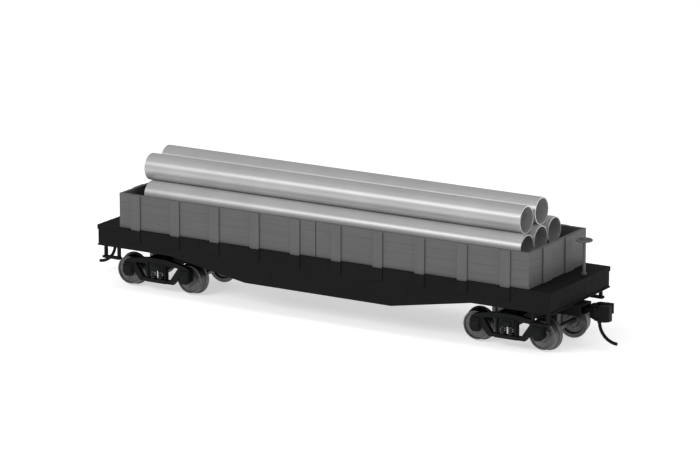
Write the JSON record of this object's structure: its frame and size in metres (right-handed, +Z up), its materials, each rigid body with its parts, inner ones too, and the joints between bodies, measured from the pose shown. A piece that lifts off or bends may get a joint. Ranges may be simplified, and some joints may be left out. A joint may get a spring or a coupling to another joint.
{
  "type": "model flat car",
  "caption": "Model railway flat car with fish-belly side sills, a stake-sided box on the deck and a load of nested pipes, on sprung trucks with knuckle couplers.",
  "frame": {"origin": "middle of the car, at the bottom of the wheel flanges", "axes": "+X along the car to the brake-wheel end, +Y to the far side, +Z up"},
  "size_m": [0.2584, 0.053, 0.06],
  "materials": {
    "body_black": "matt moulded black",
    "box_grey": "matt moulded grey",
    "pipe_silver": "satin silver paint",
    "truck_dark": "matt moulded dark grey",
    "wheel_metal": "blackened nickel",
    "axle_steel": "bright drawn",
    "coupler_black": "matt black",
    "screw_steel": "turned",
    "weight_steel": "sheared bar",
    "spring_brass": "stamped",
    "cradle_wood": "plain sawn"
  },
  "bodies": {
    "car": {"deck": "body_black", "centre_sill": "body_black", "side_sill_near": "body_black", "side_sill_far": "body_black", "end_sill_left": "body_black", "end_sill_right": "body_black", "cross_bearers": "body_black", "body_bolsters": "body_black", "stake_pockets": "body_black", "stirrup_steps": "body_black", "brake_cylinder": "body_black", "brake_reservoir": "body_black", "draft_boxes": "body_black", "draft_covers": "body_black", "ballast_weight": "weight_steel", "brake_rods": "truck_dark", "draft_screws": "screw_steel", "kingpin_screws": "screw_steel", "centring_springs": "spring_brass", "boards_near_left": "box_grey", "boards_near_right": "box_grey", "boards_far_left": "box_grey", "boards_far_right": "box_grey", "end_boards_left": "box_grey", "end_boards_right": "box_grey", "stakes": "box_grey", "load_cradles": "cradle_wood"},
    "pipe_load": {"pipe_lower_near": "pipe_silver", "pipe_lower_middle": "pipe_silver", "pipe_lower_far": "pipe_silver", "pipe_upper_near": "pipe_silver", "pipe_upper_far": "pipe_silver"},
    "hand_brake": {"brake_staff": "box_grey", "brake_wheel": "box_grey"},
    "truck_left": {"truck_bolster_left": "truck_dark", "side_frame_near_left": "truck_dark", "side_frame_far_left": "truck_dark", "truck_springs_left": "truck_dark"},
    "coupler_left": {"coupler_head_left": "coupler_black", "knuckle_pin_left": "coupler_black"},
    "knuckle_left": {"knuckle_left": "coupler_black", "trip_pin_left": "coupler_black"},
    "truck_right": {"truck_bolster_right": "truck_dark", "side_frame_near_right": "truck_dark", "side_frame_far_right": "truck_dark", "truck_springs_right": "truck_dark"},
    "coupler_right": {"coupler_head_right": "coupler_black", "knuckle_pin_right": "coupler_black"},
    "knuckle_right": {"knuckle_right": "coupler_black", "trip_pin_right": "coupler_black"},
    "wheelset_1": {"axle_1": "axle_steel", "wheels_1": "wheel_metal"},
    "wheelset_2": {"axle_2": "axle_steel", "wheels_2": "wheel_metal"},
    "wheelset_3": {"axle_3": "axle_steel", "wheels_3": "wheel_metal"},
    "wheelset_4": {"axle_4": "axle_steel", "wheels_4": "wheel_metal"}
  },
  "joints": [
    {"name": "truck_left_swivel", "type": "hinge", "parent": "car", "child": "truck_left", "pos_m": [-0.0865, 0, 0.0155], "axis": [0, 0, 1], "range_deg": [-18, 18]},
    {"name": "truck_right_swivel", "type": "hinge", "parent": "car", "child": "truck_right", "pos_m": [0.0865, 0, 0.0155], "axis": [0, 0, 1], "range_deg": [-18, 18]},
    {"name": "wheelset_1_spin", "type": "hinge", "parent": "truck_left", "child": "wheelset_1", "pos_m": [-0.102, 0, 0.00725], "axis": [0, 1, 0], "continuous": true},
    {"name": "wheelset_2_spin", "type": "hinge", "parent": "truck_left", "child": "wheelset_2", "pos_m": [-0.071, 0, 0.00725], "axis": [0, 1, 0], "continuous": true},
    {"name": "wheelset_3_spin", "type": "hinge", "parent": "truck_right", "child": "wheelset_3", "pos_m": [0.071, 0, 0.00725], "axis": [0, 1, 0], "continuous": true},
    {"name": "wheelset_4_spin", "type": "hinge", "parent": "truck_right", "child": "wheelset_4", "pos_m": [0.102, 0, 0.00725], "axis": [0, 1, 0], "continuous": true},
    {"name": "coupler_left_swing", "type": "hinge", "parent": "car", "child": "coupler_left", "pos_m": [-0.1015, 0, 0.0165], "axis": [0, 0, 1], "range_deg": [-9, 9], "stiffness_Nm_per_rad": 0.004},
    {"name": "knuckle_left_open", "type": "hinge", "parent": "coupler_left", "child": "knuckle_left", "pos_m": [-0.1202, 0.0029, 0.0165], "axis": [0, 0, 1], "range_deg": [-28, 0], "stiffness_Nm_per_rad": 0.001},
    {"name": "coupler_right_swing", "type": "hinge", "parent": "car", "child": "coupler_right", "pos_m": [0.1015, 0, 0.0165], "axis": [0, 0, 1], "range_deg": [-9, 9], "stiffness_Nm_per_rad": 0.004},
    {"name": "knuckle_right_open", "type": "hinge", "parent": "coupler_right", "child": "knuckle_right", "pos_m": [0.1202, -0.0029, 0.0165], "axis": [0, 0, 1], "range_deg": [-28, 0], "stiffness_Nm_per_rad": 0.001},
    {"name": "hand_brake_turn", "type": "hinge", "parent": "car", "child": "hand_brake", "pos_m": [0.1085, 0.0082, 0.0433], "axis": [0, 0, 1], "continuous": true},
    {"name": "pipe_load_lift", "type": "slide", "parent": "car", "child": "pipe_load", "axis": [0, 0, 1], "range_m": [0, 0.05]}
  ]
}
